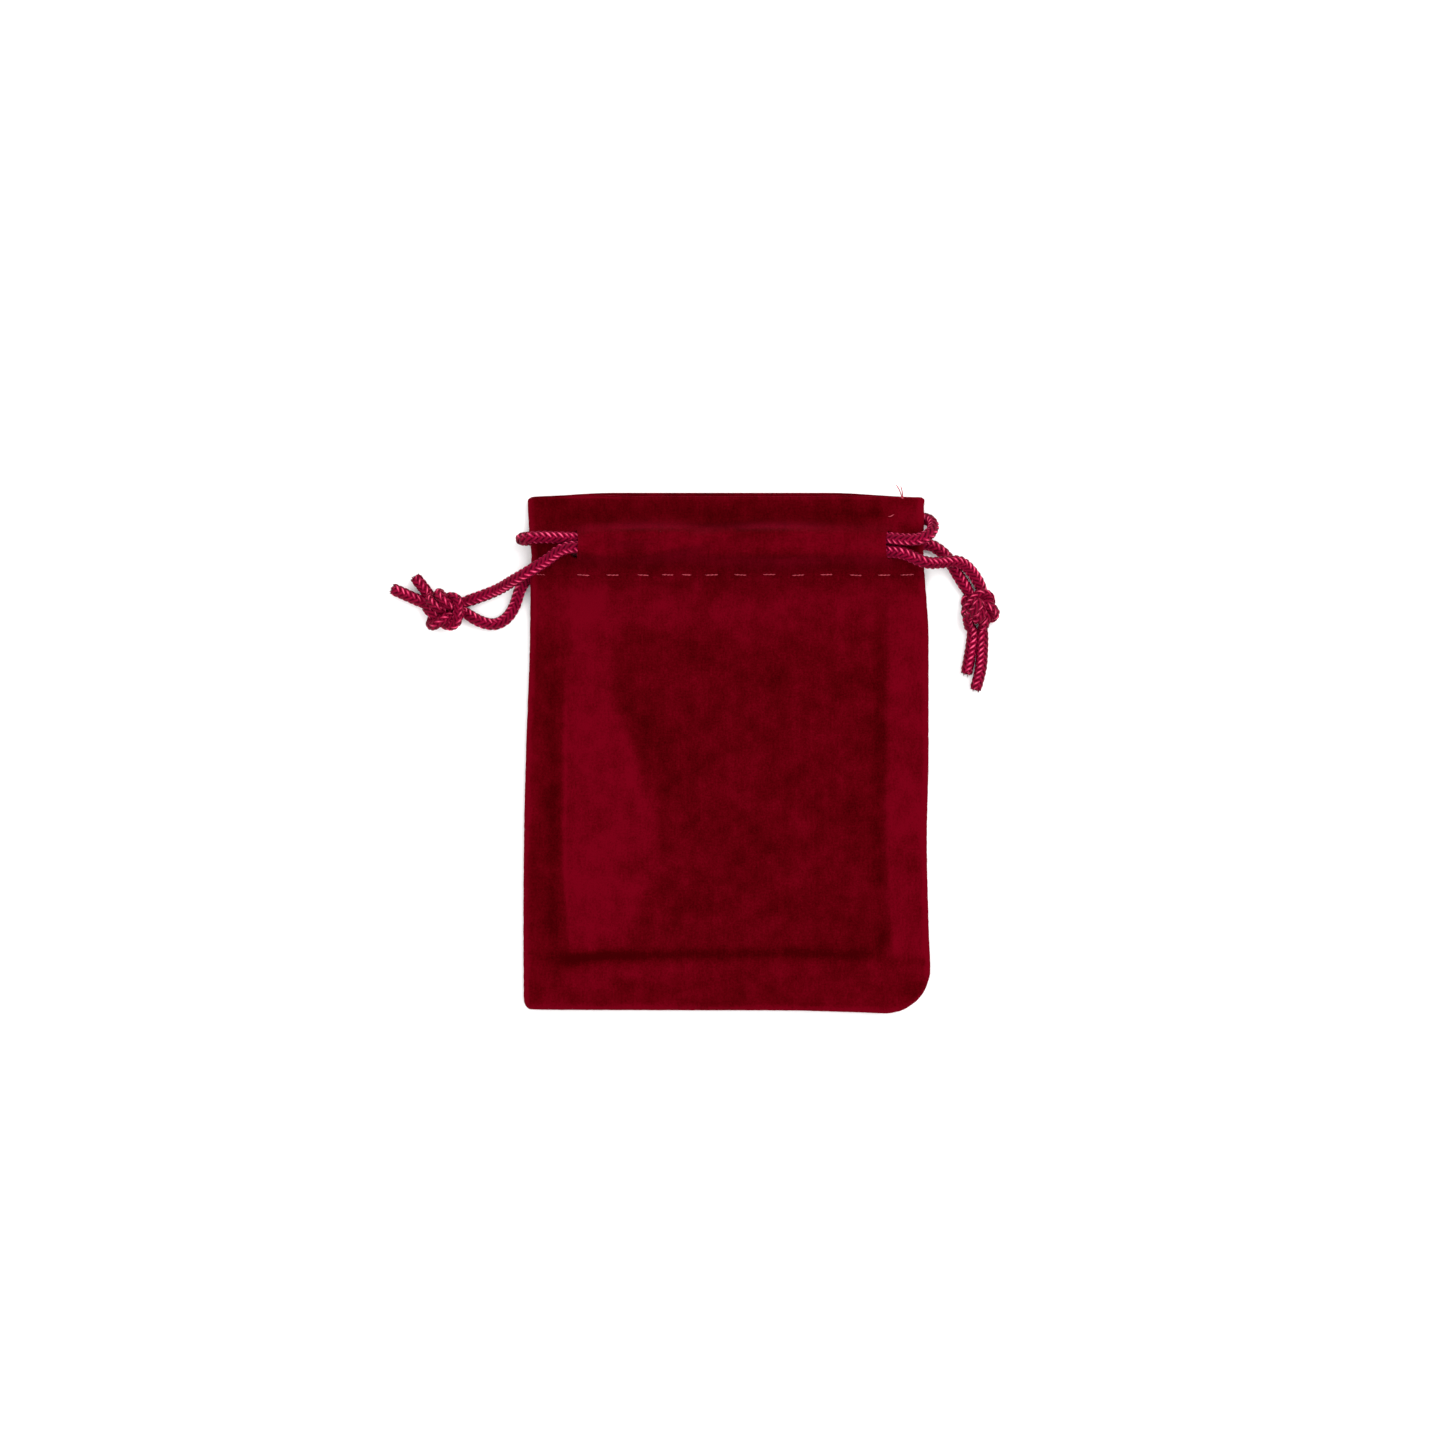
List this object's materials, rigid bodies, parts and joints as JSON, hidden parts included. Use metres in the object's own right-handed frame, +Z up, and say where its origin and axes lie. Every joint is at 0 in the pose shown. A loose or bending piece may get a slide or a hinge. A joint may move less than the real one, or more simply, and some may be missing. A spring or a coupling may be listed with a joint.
{
  "type": "drawstring gift pouch",
  "caption": "Flat rectangular velvet gift pouch with a stitched casing along its mouth and opposed braided drawstrings, knotted outside each side, that cinch it shut.",
  "frame": {"origin": "centre of the pouch's outline on the surface that it lies on", "axes": "+Y towards the mouth, +X to the right seen from the front, +Z up out of the front panel"},
  "size_m": [0.1066, 0.0908, 0.0097],
  "materials": {
    "velvet": "wine-red short-pile velvet, pile side out",
    "cloth_backing": "knitted back of the velvet, matt",
    "sewing_thread": "coral-red polyester thread, slightly glossy",
    "braided_cord": "glossy crimson round braid of nylon yarns"
  },
  "bodies": {
    "bag": {"back_panel": "velvet", "front_panel": "velvet", "back_casing": "velvet", "front_casing": "velvet", "back_facing": "velvet", "front_facing": "velvet", "left_seam_allowance": "cloth_backing", "right_seam_allowance": "cloth_backing", "bottom_seam_allowance": "cloth_backing", "left_seam_stitching": "sewing_thread", "right_seam_stitching": "sewing_thread", "bottom_seam_stitching": "sewing_thread", "front_hem_stitching": "sewing_thread", "back_hem_stitching": "sewing_thread"},
    "left_drawstring": {"left_cord": "braided_cord", "left_knot": "braided_cord", "left_tails": "braided_cord"},
    "right_drawstring": {"right_cord": "braided_cord", "right_knot": "braided_cord", "right_tails": "braided_cord"}
  },
  "joints": [
    {"name": "left_pull", "type": "slide", "parent": "bag", "child": "left_drawstring", "axis": [-1, 0, 0], "range_m": [0, 0.022], "deforming": ["left_cord"]},
    {"name": "right_pull", "type": "slide", "parent": "bag", "child": "right_drawstring", "axis": [1, 0, 0], "range_m": [0, 0.022], "deforming": ["right_cord"]}
  ]
}
